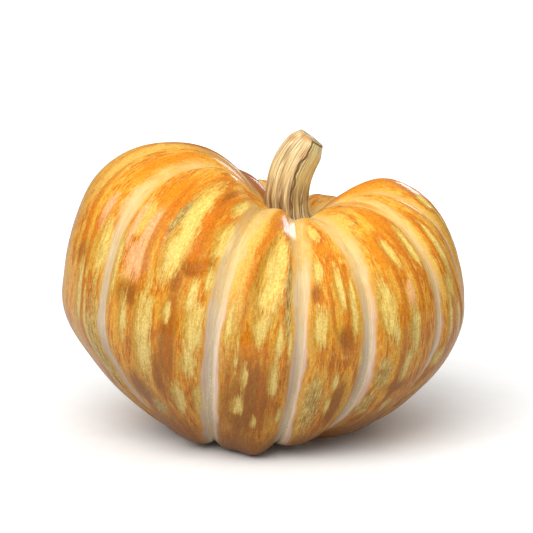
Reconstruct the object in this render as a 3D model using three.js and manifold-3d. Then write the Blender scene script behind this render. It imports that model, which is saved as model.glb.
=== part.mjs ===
// A glazed ceramic pumpkin figure: a hollow slip-cast body, a separately cast stem bonded into
// a socket in the crown, and four felt pads under the base.
//
// Millimetres, +Z up, front is -Y and right is +X. Everything is drawn round the centre of the
// base, and the finished figure is then moved so that the origin is the middle of its outline
// seen from above, on the plane that it rests on. Azimuths are in degrees, from the front
// towards the right.
import * as THREE from 'three';
import { mergeVertices } from 'three/addons/utils/BufferGeometryUtils.js';
import Module from 'manifold-3d';

// ---- Driving dimensions -------------------------------------------------------------------

const CLEARANCE = 0.3; // gap between a piece and its neighbour

// The body is drawn on eight compass meridians, every 45 degrees: front, front right, right,
// back right, back, back left, left, front left. Along each one the surface climbs out of the
// pit round the stem to the crest, falls to the equator and turns in to the foot.
const CREST_RADIUS = [30, 38, 50, 44, 40, 50, 70, 55];
const CREST_HEIGHT = [125, 131, 142, 126, 130, 143, 163.5, 151];
const EQUATOR_RADIUS = [102, 105, 105, 103, 104, 114, 127.5, 117];
const EQUATOR_HEIGHT = [64, 64, 66, 70, 74, 80, 84, 74];
const FOOT_RADIUS = [60, 52, 44, 46, 48, 48, 46, 63];
const FOOT_HEIGHT = [3, 5, 3.5, 2, 2, 2, 2, 1.2];

// Fullness of the quarter arcs between those points: 0.55 is an ellipse, less is slacker.
const PIT_FULLNESS = [0.55, 0.5, 0.42, 0.5, 0.5, 0.45, 0.48, 0.3];
const UPPER_FULLNESS = [0.58, 0.56, 0.49, 0.47, 0.6, 0.62, 0.65, 0.62];
const LOWER_FULLNESS = [0.55, 0.52, 0.48, 0.53, 0.55, 0.5, 0.48, 0.48];
const FOOT_FULLNESS = [0.49, 0.38, 0.32, 0.45, 0.5, 0.3, 0.18, 0.16];

const PIT_RADIUS = 16.5; // flat seat for the stem, at the bottom of the pit
const PIT_HEIGHT = 116;
const LEAN = { x: 10, y: 6 }; // how far the pit's centre stands off the base's centre

// Grooves between the ribs: azimuth at the crown, at the equator and at the foot, and depth as a
// share of GROOVE_DEPTH. The last one is only a soft crease.
const GROOVES = [
  { crown: -59, equator: -56.5, foot: -47, depth: 1 },
  { crown: -18, equator: -20.5, foot: -31, depth: 1 },
  { crown: 4, equator: 5.2, foot: 1, depth: 1 },
  { crown: 24, equator: 27, foot: 18, depth: 1 },
  { crown: 56, equator: 55.5, foot: 44, depth: 1 },
  { crown: 64, equator: 84, foot: 86, depth: 1 },
  { crown: 98, equator: 115, foot: 117, depth: 1 },
  { crown: 133, equator: 147, foot: 148, depth: 1 },
  { crown: 168, equator: 178, foot: 179, depth: 1 },
  { crown: 203, equator: 209, foot: 210, depth: 1 },
  { crown: 238, equator: 241, foot: 242, depth: 1 },
  { crown: 271, equator: 272.5, foot: 274, depth: 0.35 },
];
const GROOVE_DEPTH = 3.2;
const GROOVE_WIDTH = 5; // half width of the valley floor
const FULL_DEPTH_RIB = 32; // ribs narrower than this have shallower grooves

// Local swells and dips: rib coordinate, step, half width in ribs, half length in steps, height.
const SWELLS = [
  { rib: 0.75, step: 0.8, across: 0.26, along: 0.35, height: -7 },
  { rib: 1.64, step: 2.74, across: 0.2, along: 0.2, height: 4 },
  { rib: 3.1, step: 2.75, across: 0.3, along: 0.25, height: -2 },
  { rib: 3.6, step: 2.55, across: 0.3, along: 0.3, height: 1.5 },
];

const WALL = 5; // cast wall
const PIT_FLOOR = 10; // thicker, to hold the stem's spigot
const BASE_RADIUS = 38; // flat underside
const BASE_HEIGHT = 1.5;
const VENT_RADIUS = 7; // drain and vent hole that slip casting needs

const SOCKET_RADIUS = 8.5;
const SPIGOT_RADIUS = 6.5;
const SPIGOT_LENGTH = 14;
const BOND_LENGTH = 8;

// Stem: the centre line's points, and the radius at each of them.
const STEM_LINE = [
  { x: 9, y: 6, z: PIT_HEIGHT + CLEARANCE, radius: 12.2 },
  { x: 8.3, y: 6, z: 123, radius: 12 },
  { x: 8, y: 6, z: 132, radius: 11.9 },
  { x: 9.6, y: 6, z: 143, radius: 11.9 },
  { x: 12.9, y: 6, z: 151.5, radius: 11.6 },
  { x: 18.2, y: 6, z: 159.8, radius: 10.5 },
  { x: 22, y: 6, z: 164, radius: 8.6 },
];
const STEM_RIDGES = 5;
const STEM_RIDGE_HEIGHT = 0.09; // share of the radius
const STEM_RIDGE_TURN = 8; // degrees from the front to the first ridge
const STEM_ROOT_HEIGHT = 0.1; // extra share, where the ridges flare at the base

const PAD_RADIUS = 8;
const PAD_RING_RADIUS = 26;

// ---- Resolution ---------------------------------------------------------------------------

const OUTER_MESH = { columnsPerRib: 8, rows: [5, 10, 9, 3] }; // rows on each stretch of a meridian
const INNER_MESH = { columnsPerRib: 4, rows: [3, 5, 5, 1] };
const STEM_MESH = { columns: 30, rows: 18 };
const ROUND_SEGMENTS = 40;

// ---- Small helpers ------------------------------------------------------------------------

const { PI, abs, cos, exp, floor, min, round, sin } = Math;
const radians = THREE.MathUtils.degToRad;
const { clamp, lerp, smoothstep, euclideanModulo } = THREE.MathUtils;

const wasm = await Module();
wasm.setup();

function toSolid(geometry) {
  const bare = geometry.clone();
  bare.deleteAttribute('normal');
  bare.deleteAttribute('uv');
  const merged = mergeVertices(bare, 1e-4);
  return new wasm.Manifold(
    new wasm.Mesh({
      numProp: 3,
      vertProperties: new Float32Array(merged.attributes.position.array),
      triVerts: new Uint32Array(merged.index.array),
    }),
  );
}

function toGeometry(solid) {
  const mesh = solid.getMesh();
  const geometry = new THREE.BufferGeometry();
  geometry.setAttribute('position', new THREE.BufferAttribute(mesh.vertProperties, 3));
  geometry.setIndex(new THREE.BufferAttribute(mesh.triVerts, 1));
  geometry.computeVertexNormals();
  return geometry;
}

// An upright round bar between two heights.
function roundBar(radius, low, high, centre = { x: 0, y: 0 }) {
  const bar = new THREE.CylinderGeometry(radius, radius, high - low, ROUND_SEGMENTS);
  bar.rotateX(PI / 2);
  bar.translate(centre.x, centre.y, (low + high) / 2);
  return bar;
}

// A closed skin over a stack of rings of equal length, with a fan over each end. The rings run
// from the top to the bottom, and each one runs anticlockwise seen from above.
function loft(rings) {
  const columns = rings[0].length;
  const points = rings.flat();
  const middleOf = (ring) => ring.reduce((sum, p) => sum.add(p), new THREE.Vector3()).divideScalar(columns);
  const top = points.push(middleOf(rings[0])) - 1;
  const bottom = points.push(middleOf(rings.at(-1))) - 1;
  const lastRow = (rings.length - 1) * columns;
  const faces = [];
  for (let column = 0; column < columns; column++) {
    const next = (column + 1) % columns;
    faces.push(top, column, next);
    faces.push(bottom, lastRow + next, lastRow + column);
    for (let row = 0; row < lastRow; row += columns) {
      faces.push(row + column, row + columns + column, row + columns + next);
      faces.push(row + column, row + columns + next, row + next);
    }
  }
  const geometry = new THREE.BufferGeometry().setFromPoints(points);
  geometry.setIndex(faces);
  return geometry;
}

// ---- The body's surface -------------------------------------------------------------------
// A point on it has a rib coordinate, whole numbers being the grooves, and a step along the
// meridian: 0 at the pit's seat, 1 on the crest, 2 on the equator, 3 at the foot, 4 on the base.

// Smooth value at an azimuth, from the eight compass values.
function compass(values, azimuth) {
  const at = euclideanModulo(azimuth, 360) / 45;
  const first = floor(at);
  const f = at - first;
  const [a, b, c, d] = [-1, 0, 1, 2].map((k) => values[euclideanModulo(first + k, 8)]);
  return b + 0.5 * f * (c - a + f * (2 * a - 5 * b + 4 * c - d + f * (3 * (b - c) + d - a)));
}

// A quarter turn as a cubic curve: `early` rises at once and `late` rises at the end.
function quarterTurn(u, startFullness, endFullness = startFullness) {
  const w = 1 - u;
  return {
    early: 3 * w * w * u * startFullness + 3 * w * u * u + u ** 3,
    late: 3 * w * u * u * (1 - endFullness) + u ** 3,
  };
}

function meridian(azimuth, step) {
  const at = (values) => compass(values, azimuth);
  if (step <= 1) {
    const turn = quarterTurn(step, at(PIT_FULLNESS));
    return {
      radius: lerp(PIT_RADIUS, at(CREST_RADIUS), turn.late),
      height: lerp(PIT_HEIGHT, at(CREST_HEIGHT), turn.early),
    };
  }
  if (step <= 2) {
    const turn = quarterTurn(step - 1, at(UPPER_FULLNESS));
    return {
      radius: lerp(at(CREST_RADIUS), at(EQUATOR_RADIUS), turn.early),
      height: lerp(at(CREST_HEIGHT), at(EQUATOR_HEIGHT), turn.late),
    };
  }
  if (step <= 3) {
    const turn = quarterTurn(step - 2, at(LOWER_FULLNESS), at(FOOT_FULLNESS));
    return {
      radius: lerp(at(EQUATOR_RADIUS), at(FOOT_RADIUS), turn.late),
      height: lerp(at(EQUATOR_HEIGHT), at(FOOT_HEIGHT), turn.early),
    };
  }
  return {
    radius: lerp(at(FOOT_RADIUS), BASE_RADIUS, step - 3),
    height: lerp(at(FOOT_HEIGHT), BASE_HEIGHT, smoothstep(step, 3, 4)),
  };
}

function grooveAzimuth(index, step) {
  const count = GROOVES.length;
  const groove = GROOVES[euclideanModulo(index, count)];
  const toEquator = clamp((step - 0.7) / 1.3, 0, 1);
  const toFoot = clamp(step - 2, 0, 1) ** 2;
  const turns = floor(index / count);
  return (
    360 * turns +
    lerp(groove.crown, groove.equator, toEquator) +
    (groove.foot - groove.equator) * toFoot
  );
}

function smoothPoint(rib, step) {
  const first = floor(rib);
  const azimuth = lerp(grooveAzimuth(first, step), grooveAzimuth(first + 1, step), rib - first);
  const { radius, height } = meridian(azimuth, step);
  return new THREE.Vector3(
    (LEAN.x * height) / PIT_HEIGHT + radius * sin(radians(azimuth)),
    (LEAN.y * height) / PIT_HEIGHT - radius * cos(radians(azimuth)),
    height,
  );
}

// How far the ribs and swells stand off the smooth surface, along its normal.
function relief(rib, step, ribWidth) {
  const grooveShare = abs(2 * (rib - floor(rib)) - 1); // 0 along the rib's middle, 1 in a groove
  const toGroove = ((1 - grooveShare) * ribWidth) / 2;
  const groove = GROOVES[euclideanModulo(round(rib), GROOVES.length)];
  const overCrest = 0.7 * exp(-(((step - 0.9) / 0.35) ** 2));
  const underBelly = 0.35 * clamp(step - 2, 0, 1);
  const depth =
    GROOVE_DEPTH * groove.depth * min(1, ribWidth / FULL_DEPTH_RIB) * (0.85 + overCrest + underBelly);
  let height = -depth * (0.45 * grooveShare ** 3 + 0.75 * exp(-((toGroove / GROOVE_WIDTH) ** 2)));
  for (const swell of SWELLS) {
    const across = (rib - swell.rib) / swell.across;
    const along = (step - swell.step) / swell.along;
    height += swell.height * exp(-(across ** 2) - along ** 2);
  }
  return height * clamp(step / 0.35, 0, 1) * (1 - smoothstep(step, 3, 3.8));
}

// The point on the body, pushed inwards along the normal by `inset`.
function bodyPoint(rib, step, inset = 0) {
  const delta = 1e-3;
  const middle = clamp(step, delta, 4 - delta);
  const across = smoothPoint(rib + delta, step).sub(smoothPoint(rib - delta, step));
  const down = smoothPoint(rib, middle + delta).sub(smoothPoint(rib, middle - delta));
  const outward = new THREE.Vector3().crossVectors(down, across).normalize();
  const ribWidth = across.length() / (2 * delta);
  const offset = relief(rib, step, ribWidth) - inset;
  return smoothPoint(rib, step).addScaledVector(outward, offset);
}

// Rib coordinates of one ring's columns, gathered towards the grooves.
function ribColumns(perRib) {
  return Array.from({ length: GROOVES.length * perRib }, (_, index) => {
    const share = (index % perRib) / perRib;
    const side = share < 0.5 ? -1 : 1;
    const gathered = 0.5 + (side * (1 - (1 - abs(2 * share - 1)) ** 1.3)) / 2;
    return floor(index / perRib) + gathered;
  });
}

function meridianSteps(rows) {
  const steps = [];
  rows.forEach((count, stretch) => {
    for (let row = 0; row < count; row++) steps.push(stretch + row / count);
  });
  return [...steps, rows.length];
}

function bodySkin({ columnsPerRib, rows }) {
  const ribs = ribColumns(columnsPerRib);
  return loft(meridianSteps(rows).map((step) => ribs.map((rib) => bodyPoint(rib, step))));
}

// The cavity follows the outside one wall inside it, and has a flat ceiling under the pit and a
// flat floor over the base.
function cavitySkin({ columnsPerRib, rows }) {
  const ribs = ribColumns(columnsPerRib);
  const rings = meridianSteps(rows).map((step) => ribs.map((rib) => bodyPoint(rib, step, WALL)));
  const ceiling = rings[0].map((p) => p.clone().setZ(PIT_HEIGHT - PIT_FLOOR));
  return loft([ceiling, ...rings]);
}

const pitCentre = { x: LEAN.x, y: LEAN.y };

function bodyShell() {
  const vent = roundBar(VENT_RADIUS, BASE_HEIGHT - 5, BASE_HEIGHT + 2 * WALL);
  const socket = roundBar(SOCKET_RADIUS, PIT_HEIGHT - 2 * PIT_FLOOR, PIT_HEIGHT + 5, pitCentre);
  const solid = toSolid(bodySkin(OUTER_MESH))
    .subtract(toSolid(cavitySkin(INNER_MESH)))
    .subtract(toSolid(vent))
    .subtract(toSolid(socket));
  return toGeometry(solid);
}

// ---- The stem -----------------------------------------------------------------------------

// Radius at a turn round the stem and a share of the way up it: five ridges, flaring at the root.
function stemRadius(radius, turn, share) {
  const ridge = cos(STEM_RIDGES * (turn - radians(STEM_RIDGE_TURN)));
  const root = STEM_ROOT_HEIGHT * (1 - smoothstep(share, 0, 0.25));
  return radius * (1 + (STEM_RIDGE_HEIGHT + root) * ridge);
}

function stemSkin({ columns, rows }) {
  const line = new THREE.CatmullRomCurve3(STEM_LINE.map((p) => new THREE.Vector3(p.x, p.y, p.z)));
  const front = new THREE.Vector3(0, -1, 0);
  const rings = [];
  for (let row = rows; row >= 0; row--) {
    const share = row / rows;
    const centre = line.getPoint(share);
    const along = row === 0 ? new THREE.Vector3(0, 0, 1) : line.getTangent(share);
    const right = new THREE.Vector3().crossVectors(along, front).normalize();
    const knot = share * (STEM_LINE.length - 1);
    const lower = min(floor(knot), STEM_LINE.length - 2);
    const radius = lerp(STEM_LINE[lower].radius, STEM_LINE[lower + 1].radius, knot - lower);
    rings.push(
      Array.from({ length: columns }, (_, column) => {
        const turn = (2 * PI * column) / columns;
        const reach = stemRadius(radius, turn, share);
        return centre
          .clone()
          .addScaledVector(front, reach * cos(turn))
          .addScaledVector(right, reach * sin(turn));
      }),
    );
  }
  return loft(rings);
}

function stem() {
  const seat = PIT_HEIGHT + CLEARANCE;
  const spigot = roundBar(SPIGOT_RADIUS, seat - SPIGOT_LENGTH, seat + 2, pitCentre);
  return toGeometry(toSolid(stemSkin(STEM_MESH)).add(toSolid(spigot)));
}

// ---- Bond and pads ------------------------------------------------------------------------

// Cured adhesive between the spigot and the socket.
function bondRing() {
  const high = PIT_HEIGHT - 1;
  const inner = SPIGOT_RADIUS + CLEARANCE;
  const outer = SOCKET_RADIUS - CLEARANCE;
  const ring = new THREE.Shape().absarc(0, 0, outer, 0, 2 * PI);
  ring.holes.push(new THREE.Path().absarc(0, 0, inner, 0, 2 * PI));
  const geometry = new THREE.ExtrudeGeometry(ring, {
    depth: BOND_LENGTH,
    bevelEnabled: false,
    curveSegments: ROUND_SEGMENTS / 2,
  });
  return geometry.translate(pitCentre.x, pitCentre.y, high - BOND_LENGTH);
}

function footPad(azimuth) {
  const centre = {
    x: PAD_RING_RADIUS * sin(radians(azimuth)),
    y: -PAD_RING_RADIUS * cos(radians(azimuth)),
  };
  return roundBar(PAD_RADIUS, 0, BASE_HEIGHT - CLEARANCE, centre);
}

// ---- Assembly -----------------------------------------------------------------------------

const glaze = new THREE.MeshStandardMaterial({ color: 0xd08a35, roughness: 0.22, metalness: 0 });
const stemGlaze = new THREE.MeshStandardMaterial({ color: 0xb99a62, roughness: 0.45, metalness: 0 });
const adhesive = new THREE.MeshStandardMaterial({ color: 0xd9d2b8, roughness: 0.5, metalness: 0 });
const felt = new THREE.MeshStandardMaterial({ color: 0x6b5a48, roughness: 0.95, metalness: 0 });

const pumpkin = new THREE.Group();

function addPiece(name, geometry, material) {
  const mesh = new THREE.Mesh(geometry, material);
  mesh.name = name;
  pumpkin.add(mesh);
}

addPiece('body_shell', bodyShell(), glaze);
addPiece('stem', stem(), stemGlaze);
addPiece('stem_bond_ring', bondRing(), adhesive);
addPiece('foot_pad_front', footPad(0), felt);
addPiece('foot_pad_right', footPad(90), felt);
addPiece('foot_pad_back', footPad(180), felt);
addPiece('foot_pad_left', footPad(270), felt);

const middle = new THREE.Box3().setFromObject(pumpkin).getCenter(new THREE.Vector3());
pumpkin.position.set(-middle.x, -middle.y, 0);

export default pumpkin;
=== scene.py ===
"""Looks of a glazed ceramic pumpkin figure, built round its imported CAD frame.

The body, the stem and the felt pads are rebuilt as fine meshes in the places the frame gives,
and painted with procedural materials. Blender's unit is the metre; the pumpkin's own numbers
are millimetres, measured from the middle of its base, and MM turns them into metres.
"""

import math

import bpy
import numpy as np
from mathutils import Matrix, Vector


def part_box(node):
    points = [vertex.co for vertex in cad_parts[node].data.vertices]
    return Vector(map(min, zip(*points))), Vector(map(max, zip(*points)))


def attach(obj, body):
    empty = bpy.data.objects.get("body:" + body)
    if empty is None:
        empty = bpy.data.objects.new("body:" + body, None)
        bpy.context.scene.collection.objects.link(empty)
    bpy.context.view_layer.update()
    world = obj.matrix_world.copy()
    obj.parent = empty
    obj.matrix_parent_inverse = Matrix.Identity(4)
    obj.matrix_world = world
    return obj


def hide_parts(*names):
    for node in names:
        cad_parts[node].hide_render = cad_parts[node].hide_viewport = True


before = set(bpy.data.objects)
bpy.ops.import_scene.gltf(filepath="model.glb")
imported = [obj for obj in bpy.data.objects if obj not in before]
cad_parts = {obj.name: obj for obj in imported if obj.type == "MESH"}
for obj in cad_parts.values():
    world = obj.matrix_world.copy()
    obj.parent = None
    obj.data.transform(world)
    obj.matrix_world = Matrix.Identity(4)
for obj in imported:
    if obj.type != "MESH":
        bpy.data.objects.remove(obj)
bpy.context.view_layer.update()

MM = 0.001


def middle(*nodes):
    """Middle of the box round some CAD nodes, in millimetres."""
    corners = [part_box(node) for node in nodes]
    low = np.min([low for low, high in corners], axis=0)
    high = np.max([high for low, high in corners], axis=0)
    return (low + high) / 2 / MM


PADS = [name for name in sorted(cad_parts) if name.startswith("foot_pad")]
BASE = middle(*PADS) * (1, 1, 0)
PIT = middle("stem_bond_ring") - BASE

# ---- The body's surface ---------------------------------------------------------------------
# A point on it has a rib coordinate, whole numbers being the grooves, and a step along the
# meridian: 0 at the pit's seat, 1 on the crest, 2 on the equator, 3 at the foot, 4 on the base.
# The numbers are those of the CAD body: eight compass meridians, every 45 degrees from the
# front through the right.

CREST_RADIUS = [30, 38, 50, 44, 40, 50, 70, 55]
CREST_HEIGHT = [125, 131, 142, 126, 130, 143, 163.5, 151]
EQUATOR_RADIUS = [102, 105, 105, 103, 104, 114, 127.5, 117]
EQUATOR_HEIGHT = [64, 64, 66, 70, 74, 80, 84, 74]
FOOT_RADIUS = [60, 52, 44, 46, 48, 48, 46, 63]
FOOT_HEIGHT = [3, 5, 3.5, 2, 2, 2, 2, 1.2]

# Fullness of the quarter arcs between those points: 0.55 is an ellipse, less is slacker.
PIT_FULLNESS = [0.55, 0.5, 0.42, 0.5, 0.5, 0.45, 0.48, 0.3]
UPPER_FULLNESS = [0.58, 0.56, 0.49, 0.47, 0.6, 0.62, 0.65, 0.62]
LOWER_FULLNESS = [0.55, 0.52, 0.48, 0.53, 0.55, 0.5, 0.48, 0.48]
FOOT_FULLNESS = [0.49, 0.38, 0.32, 0.45, 0.5, 0.3, 0.18, 0.16]

PIT_RADIUS = 16.5
PIT_HEIGHT = 116
PIT_FLOOR = 10
BASE_RADIUS = 38
BASE_HEIGHT = 1.5
WALL = 5
VENT_RADIUS = 7
SOCKET_RADIUS = 8.5

# Grooves: azimuth in degrees at the crown, the equator and the foot; depth as a share of
# GROOVE_DEPTH; half width of the pale band painted in the groove, in millimetres.
GROOVES = np.array([
    (-59, -56.5, -47, 1, 3.4),
    (-18, -20.5, -31, 1, 4.4),
    (4, 5.2, 1, 1, 3.4),
    (24, 27, 18, 1, 3.6),
    (56, 55.5, 44, 1, 2.8),
    (64, 84, 86, 1, 3.2),
    (98, 115, 117, 1, 3.6),
    (133, 147, 148, 1, 3.8),
    (168, 178, 179, 1, 3.5),
    (203, 209, 210, 1, 4.0),
    (238, 241, 242, 1, 3.4),
    (271, 272.5, 274, 0.35, 2.6),
])
RIBS = len(GROOVES)
GROOVE_DEPTH = 3.2
GROOVE_WIDTH = 5
FULL_DEPTH_RIB = 32  # grooves between ribs narrower than this are shallower
CROWN_STEP = 0.7  # the grooves keep their crown azimuth up to here

# Broad swells and dips of the cast body: rib coordinate, step, half widths, height.
SWELLS = [
    (0.75, 0.8, 0.26, 0.35, -7),
    (1.64, 2.74, 0.2, 0.2, 4),
    (3.1, 2.75, 0.3, 0.25, -2),
    (3.6, 2.55, 0.3, 0.3, 1.5),
]

# Hand-tooled ridges and hollows: rib coordinate, step, half width in ribs, half length in steps,
# lean in ribs per step, height in millimetres. Each yellow mark is pressed in as well, deeper
# where it is wider or higher up: DENT is its depth in millimetres for a half width of one rib.
TOOLING = [
    (0.36, 1.40, 0.03, 0.22, 0.10, 1.1),
    (0.36, 1.62, 0.025, 0.22, 0.05, 0.7),
    (0.72, 1.42, 0.04, 0.25, 0.05, 0.7),
    (0.80, 1.61, 0.09, 0.06, 0, 2.4),
    (0.71, 1.71, 0.14, 0.07, 0, -2.2),
    (0.66, 2.10, 0.03, 0.30, 0, 0.7),
    (0.60, 2.55, 0.03, 0.12, 0.2, 0.8),
    (1.33, 1.60, 0.03, 0.26, -0.1, 0.8),
    (1.79, 1.62, 0.035, 0.26, -0.1, 1.0),
    (1.60, 2.20, 0.03, 0.25, 0, 0.5),
    (2.44, 1.74, 0.03, 0.14, 0.2, 0.8),
    (2.66, 1.70, 0.03, 0.25, 0.1, 0.7),
    (3.42, 1.62, 0.025, 0.22, 0.15, 0.9),
    (3.66, 1.55, 0.03, 0.25, 0.15, 0.8),
    (3.40, 2.10, 0.03, 0.25, -0.05, 0.7),
    (4.28, 1.62, 0.03, 0.25, 0.05, 0.8),
    (4.50, 1.85, 0.03, 0.20, 0, 0.7),
    (11.55, 1.55, 0.03, 0.25, 0.15, 0.9),
    (11.72, 1.90, 0.03, 0.25, 0.1, 0.7),
]
DENT = 11
DENT_RIM = 0.3

# Gentle unevenness of hand-finished ware: a sum of plane waves, in millimetres.
WAVES = 14
WAVE_LENGTH = (26, 70)
WAVE_HEIGHT = 0.6

# Brush marks on the ribs: rib coordinate, step, half width, half length and lean as above.
MARKS = {
    "orange": [
        (0.30, 1.32, 0.13, 0.13, 0), (0.71, 1.45, 0.05, 0.30, 0), (1.42, 1.13, 0.20, 0.16, 0),
        (1.33, 1.62, 0.04, 0.27, -0.1), (1.79, 1.55, 0.05, 0.30, -0.1), (1.45, 1.97, 0.14, 0.08, 0),
        (2.40, 1.36, 0.12, 0.05, 0), (3.35, 1.45, 0.10, 0.12, 0), (3.65, 1.25, 0.14, 0.15, 0),
        # The orange marks by the pit on ribs 8 to 10 darken the back lobes' inner faces with
        # painted shade.
        (11.80, 1.15, 0.10, 0.22, 0), (10.50, 0.75, 0.45, 0.35, 0), (9.50, 0.75, 0.45, 0.35, 0),
        (8.50, 0.75, 0.40, 0.35, 0), (6.50, 0.75, 0.40, 0.40, 0), (5.50, 0.75, 0.40, 0.35, 0),
    ],
    "cream": [
        (0.20, 1.53, 0.055, 0.10, 0), (1.18, 1.50, 0.14, 0.45, 0), (2.20, 1.15, 0.12, 0.09, 0),
        (3.17, 1.16, 0.16, 0.11, 0), (4.12, 1.60, 0.06, 0.28, 0.05), (11.42, 1.25, 0.12, 0.30, 0),
    ],
    "yellow": [
        (0.09, 1.75, 0.035, 0.14, 0), (0.54, 1.39, 0.09, 0.25, 0.1), (0.56, 1.60, 0.08, 0.17, -0.2),
        (0.83, 1.18, 0.06, 0.10, 0), (0.88, 1.47, 0.08, 0.12, 0), (0.78, 1.79, 0.04, 0.08, 0),
        (0.88, 1.70, 0.035, 0.06, 0), (0.24, 1.97, 0.035, 0.10, 0), (0.42, 2.05, 0.08, 0.20, 0),
        (0.62, 1.90, 0.03, 0.04, 0), (0.83, 1.93, 0.075, 0.11, 0), (0.82, 2.11, 0.06, 0.07, 0),
        (0.70, 2.35, 0.07, 0.10, 0), (0.90, 2.35, 0.05, 0.10, 0),
        (1.56, 1.56, 0.19, 0.28, -0.2), (1.50, 1.88, 0.08, 0.10, -0.1),
        (1.15, 1.88, 0.035, 0.10, 0),
        (1.27, 2.02, 0.02, 0.13, 0), (1.38, 2.14, 0.045, 0.075, 0), (1.72, 2.12, 0.055, 0.11, 0),
        (1.75, 1.93, 0.04, 0.09, 0), (1.87, 1.95, 0.03, 0.09, 0), (1.33, 2.32, 0.065, 0.055, 0),
        (1.55, 2.45, 0.035, 0.05, 0), (1.85, 2.40, 0.035, 0.06, 0), (1.09, 2.44, 0.03, 0.06, 0),
        (2.35, 1.22, 0.14, 0.08, 0), (2.26, 1.52, 0.09, 0.08, 0), (2.25, 1.86, 0.11, 0.10, 0),
        (2.58, 1.62, 0.07, 0.13, 0.1), (2.77, 1.75, 0.05, 0.16, 0), (2.87, 2.06, 0.03, 0.07, 0),
        (2.55, 2.16, 0.05, 0.05, 0), (2.52, 2.34, 0.04, 0.06, 0),
        (3.47, 1.48, 0.06, 0.10, 0.2), (3.80, 1.48, 0.06, 0.14, 0.1), (3.20, 1.80, 0.10, 0.13, 0.1),
        (3.30, 1.93, 0.04, 0.06, 0.3), (3.56, 1.94, 0.07, 0.11, 0), (3.49, 2.12, 0.05, 0.09, -0.1),
        (3.46, 2.38, 0.06, 0.05, 0),
        (4.15, 1.08, 0.10, 0.10, 0), (4.38, 1.55, 0.07, 0.16, 0.1), (4.30, 1.77, 0.08, 0.06, 0),
        (4.20, 1.92, 0.045, 0.10, -0.1), (4.40, 1.95, 0.04, 0.11, 0), (4.10, 2.15, 0.07, 0.06, 0),
        (11.86, 1.74, 0.07, 0.12, 0), (11.65, 1.95, 0.05, 0.14, 0.1),
        (11.80, 2.15, 0.03, 0.30, 0.15),
    ],
    "green": [
        # The green mark at rib 0.46, step 1.45 is painted shade, olive down the left side of the
        # long yellow mark.
        (0.43, 2.45, 0.07, 0.05, -0.3), (0.46, 1.45, 0.03, 0.15, 0), (1.83, 1.70, 0.05, 0.20, 0),
        (2.28, 2.35, 0.14, 0.20, 0), (3.20, 2.16, 0.08, 0.10, 0), (3.15, 2.36, 0.08, 0.10, 0),
        (11.90, 2.15, 0.09, 0.25, 0),
    ],
    "pink": [
        (0.14, 1.58, 0.04, 0.16, 0), (0.28, 1.72, 0.11, 0.10, 0), (0.30, 1.58, 0.05, 0.14, 0),
        (1.13, 1.50, 0.05, 0.05, 0), (3.55, 1.75, 0.05, 0.10, 0), (4.47, 1.60, 0.04, 0.12, 0),
        (11.76, 1.57, 0.06, 0.10, 0), (11.93, 1.50, 0.05, 0.16, 0),
    ],
    "brown": [
        # The brown marks on ribs 8 to 10 by the pit are painted shade on the back lobes' inner
        # faces. Those at rib 0.73, step 1.68 and rib 0.64, step 1.76 are the painted shadow under
        # the nub.
        (9.50, 0.60, 0.60, 0.40, 0), (10.50, 0.60, 0.60, 0.40, 0), (8.50, 0.50, 0.60, 0.35, 0),
        (0.66, 1.20, 0.06, 0.14, 0), (0.73, 1.68, 0.10, 0.04, -0.1), (0.64, 1.76, 0.05, 0.06, 0),
        (0.65, 2.05, 0.07, 0.25, 0), (0.30, 1.87, 0.14, 0.05, 0), (0.30, 2.35, 0.12, 0.10, 0),
        (1.83, 1.55, 0.03, 0.20, 0), (1.45, 2.30, 0.30, 0.30, 0), (2.22, 1.68, 0.09, 0.07, 0),
        (2.65, 1.93, 0.13, 0.07, 0), (2.65, 2.35, 0.10, 0.20, 0), (3.34, 1.23, 0.02, 0.03, 0),
        (3.45, 2.25, 0.15, 0.05, 0), (11.60, 1.80, 0.07, 0.05, 0), (11.93, 1.62, 0.04, 0.04, 0),
        # The broad brown marks across the foot make it darker: partly brown paint and partly
        # painted shade.
        (0.45, 2.75, 0.45, 0.28, 0), (1.50, 2.80, 0.50, 0.28, 0), (2.55, 2.80, 0.45, 0.25, 0),
        (3.50, 2.70, 0.45, 0.25, 0), (11.50, 2.70, 0.40, 0.30, 0), (0.55, 2.22, 0.05, 0.14, 0),
    ],
}

# The bright core of a yellow mark lies right of its middle, a painted highlight on the right side
# of its dent: shares of the mark's half width.
HIGHLIGHT_SHIFT = 0.3
CORE_WIDTH = 0.75

# The ribs that face away are marked by chance: how many marks on a rib, and their half widths
# and half lengths from least to greatest.
HIDDEN_RIBS = range(5, 11)
HIDDEN_MARKS = {
    "orange": (3, 0.04, 0.14, 0.08, 0.28),
    "cream": (1, 0.06, 0.11, 0.10, 0.30),
    "yellow": (9, 0.04, 0.11, 0.06, 0.24),
    "green": (2, 0.06, 0.13, 0.07, 0.16),
    "pink": (1, 0.04, 0.10, 0.10, 0.16),
    "brown": (3, 0.05, 0.14, 0.05, 0.24),
}
HIDDEN_STEPS = (1.1, 2.5)
HIDDEN_GREEN_STEPS = (1.9, 2.5)
HIDDEN_LEAN = 0.1


def smoothstep(low, high, x):
    share = np.clip((x - low) / (high - low), 0, 1)
    return share * share * (3 - 2 * share)


def smooth_between(a, b, c, d, f):
    """Catmull-Rom value a share f of the way from b to c, with a before them and d after."""
    return b + 0.5 * f * (c - a + f * (2 * a - 5 * b + 4 * c - d + f * (3 * (b - c) + d - a)))


def compass(values, azimuth):
    """Smooth value at an azimuth in degrees, from the eight compass values."""
    at = np.mod(azimuth, 360) / 45
    first = np.floor(at).astype(int)
    a, b, c, d = (np.array(values, float)[(first + k) % 8] for k in (-1, 0, 1, 2))
    return smooth_between(a, b, c, d, at - first)


def quarter_turn(u, start, end):
    """A quarter turn as a cubic curve: the first value rises at once, the second at the end."""
    w = 1 - u
    early = 3 * w * w * u * start + 3 * w * u * u + u**3
    late = 3 * w * u * u * (1 - end) + u**3
    return early, late


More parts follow.
